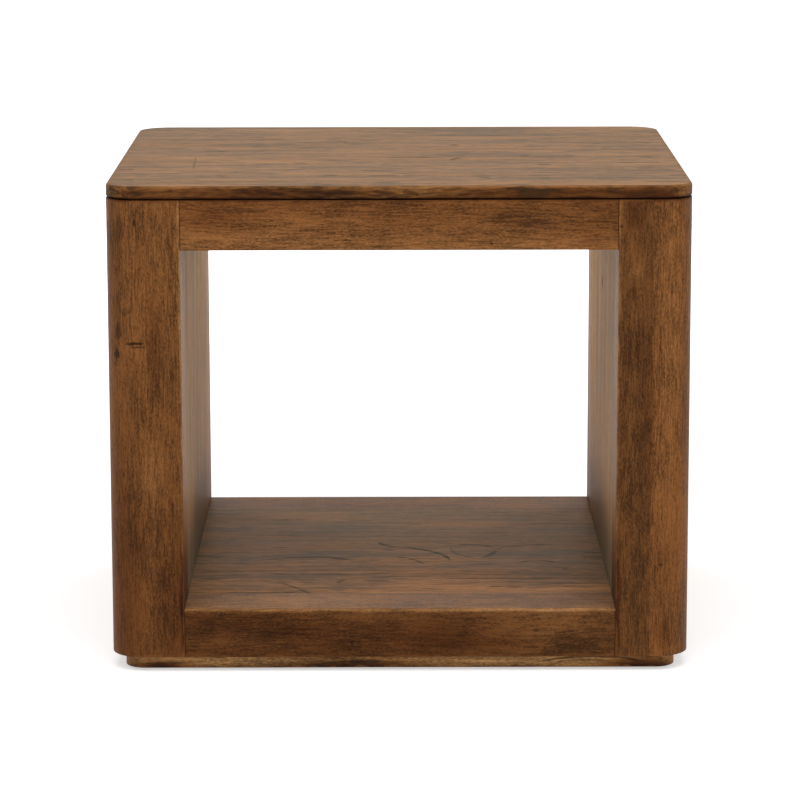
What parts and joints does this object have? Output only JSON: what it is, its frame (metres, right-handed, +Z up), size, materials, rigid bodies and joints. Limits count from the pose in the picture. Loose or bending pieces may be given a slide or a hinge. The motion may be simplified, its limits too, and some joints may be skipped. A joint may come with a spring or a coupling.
{
  "type": "end table with shelf",
  "caption": "Square wooden end table with an open-ended cubby over a low shelf, thick rounded corner posts, closed hollow side walls and a set-back plinth.",
  "frame": {"origin": "on the floor, in the middle of the table's footprint", "axes": "+Z up; +X to the right of someone facing the open front; the front faces -Y"},
  "size_m": [0.66, 0.61, 0.559],
  "materials": {
    "top_wood": "satin lacquer over brown stain, grain left to right",
    "post_wood": "satin lacquer over brown stain, upright grain",
    "rail_wood": "satin lacquer over brown stain, grain left to right",
    "panel_wood": "satin lacquer over brown stain, upright grain",
    "shelf_wood": "satin lacquer over brown stain, grain left to right",
    "plinth_wood": "satin lacquer over lighter stain",
    "inner_wood": "bare planed wood",
    "dowel_wood": "bare fluted beech",
    "screw_steel": "zinc plated",
    "glide_felt": "dark felt"
  },
  "bodies": {
    "root": {"top_board_1": "top_wood", "top_board_2": "top_wood", "top_board_3": "top_wood", "top_board_4": "top_wood", "top_board_5": "top_wood", "top_batten_left": "inner_wood", "top_batten_right": "inner_wood", "post_front_left_outer": "post_wood", "post_front_left_inner": "post_wood", "post_front_right_outer": "post_wood", "post_front_right_inner": "post_wood", "post_back_left_outer": "post_wood", "post_back_left_inner": "post_wood", "post_back_right_outer": "post_wood", "post_back_right_inner": "post_wood", "top_rail_front": "rail_wood", "bottom_rail_front": "rail_wood", "top_rail_back": "rail_wood", "bottom_rail_back": "rail_wood", "left_inner_panel_1": "panel_wood", "left_inner_panel_2": "panel_wood", "left_inner_panel_3": "panel_wood", "left_outer_panel_1": "panel_wood", "left_outer_panel_2": "panel_wood", "left_outer_panel_3": "panel_wood", "left_wall_rail_top": "inner_wood", "left_wall_rail_bottom": "inner_wood", "left_wall_stud": "inner_wood", "right_inner_panel_1": "panel_wood", "right_inner_panel_2": "panel_wood", "right_inner_panel_3": "panel_wood", "right_outer_panel_1": "panel_wood", "right_outer_panel_2": "panel_wood", "right_outer_panel_3": "panel_wood", "right_wall_rail_top": "inner_wood", "right_wall_rail_bottom": "inner_wood", "right_wall_stud": "inner_wood", "shelf_board_1": "shelf_wood", "shelf_board_2": "shelf_wood", "shelf_board_3": "shelf_wood", "shelf_board_4": "shelf_wood", "shelf_cleat_left": "inner_wood", "shelf_cleat_right": "inner_wood", "shelf_batten": "inner_wood", "plinth_front": "plinth_wood", "plinth_back": "plinth_wood", "plinth_left": "plinth_wood", "plinth_right": "plinth_wood", "glide_front_left": "glide_felt", "glide_front_right": "glide_felt", "glide_back_left": "glide_felt", "glide_back_right": "glide_felt", "rail_dowels": "dowel_wood", "wall_dowels": "dowel_wood", "top_rail_screws": "screw_steel", "top_batten_screws": "screw_steel", "shelf_screws": "screw_steel", "cleat_screws": "screw_steel", "plinth_screws": "screw_steel"}
  },
  "joints": []
}
